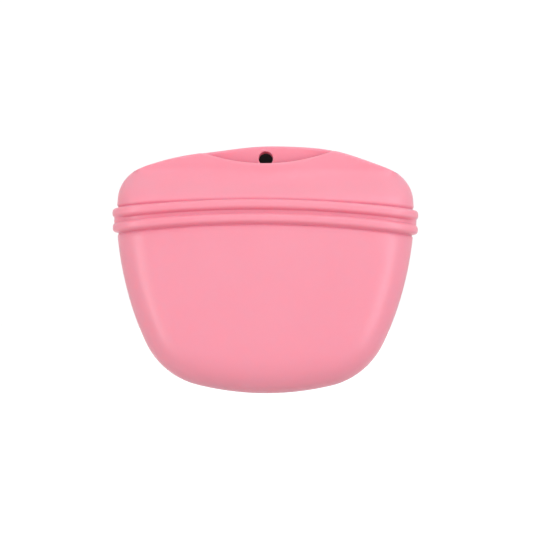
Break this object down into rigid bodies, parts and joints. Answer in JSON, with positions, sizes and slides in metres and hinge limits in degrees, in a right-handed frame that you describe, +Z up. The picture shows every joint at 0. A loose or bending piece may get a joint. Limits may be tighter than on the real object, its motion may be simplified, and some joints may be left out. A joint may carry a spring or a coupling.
{
  "type": "treat pouch",
  "caption": "Soft ribbed treat pouch with a magnetic folding mouth, a finger notch, a hang hole and a sprung belt clip on its back.",
  "frame": {"origin": "middle of the belt gap, between the clip's plate and its lever", "axes": "+X to the pouch's left hand side as worn facing the wearer's front, -Y out of the pouch's front face, +Z up towards the mouth"},
  "size_m": [0.14, 0.0544, 0.1127],
  "materials": {
    "silicone": "matte",
    "nickel": "plated",
    "black_plastic": "fine moulded texture",
    "steel": "bright"
  },
  "bodies": {
    "pouch": {"pouch_shell": "silicone", "back_lip": "silicone", "back_magnet_left": "nickel", "back_magnet_right": "nickel", "clip_plate": "black_plastic", "clip_pin": "steel", "clip_spring": "steel", "backing_plate": "black_plastic", "clip_screws": "steel"},
    "lip": {"front_lip": "silicone", "front_magnet_left": "nickel", "front_magnet_right": "nickel"},
    "lever": {"clip_lever": "black_plastic"}
  },
  "joints": [
    {"name": "lip_fold", "type": "hinge", "parent": "pouch", "child": "lip", "pos_m": [0, -0.02101, 0.0258], "axis": [1, 0, 0], "range_deg": [0, 50], "stiffness_Nm_per_rad": 0.12, "springref_deg": -14.32},
    {"name": "lever_pivot", "type": "hinge", "parent": "pouch", "child": "lever", "pos_m": [0, 0.00175, 0.0175], "axis": [1, 0, 0], "range_deg": [0, 15], "stiffness_Nm_per_rad": 0.4, "springref_deg": -22.92, "deforming": ["clip_spring"]}
  ]
}
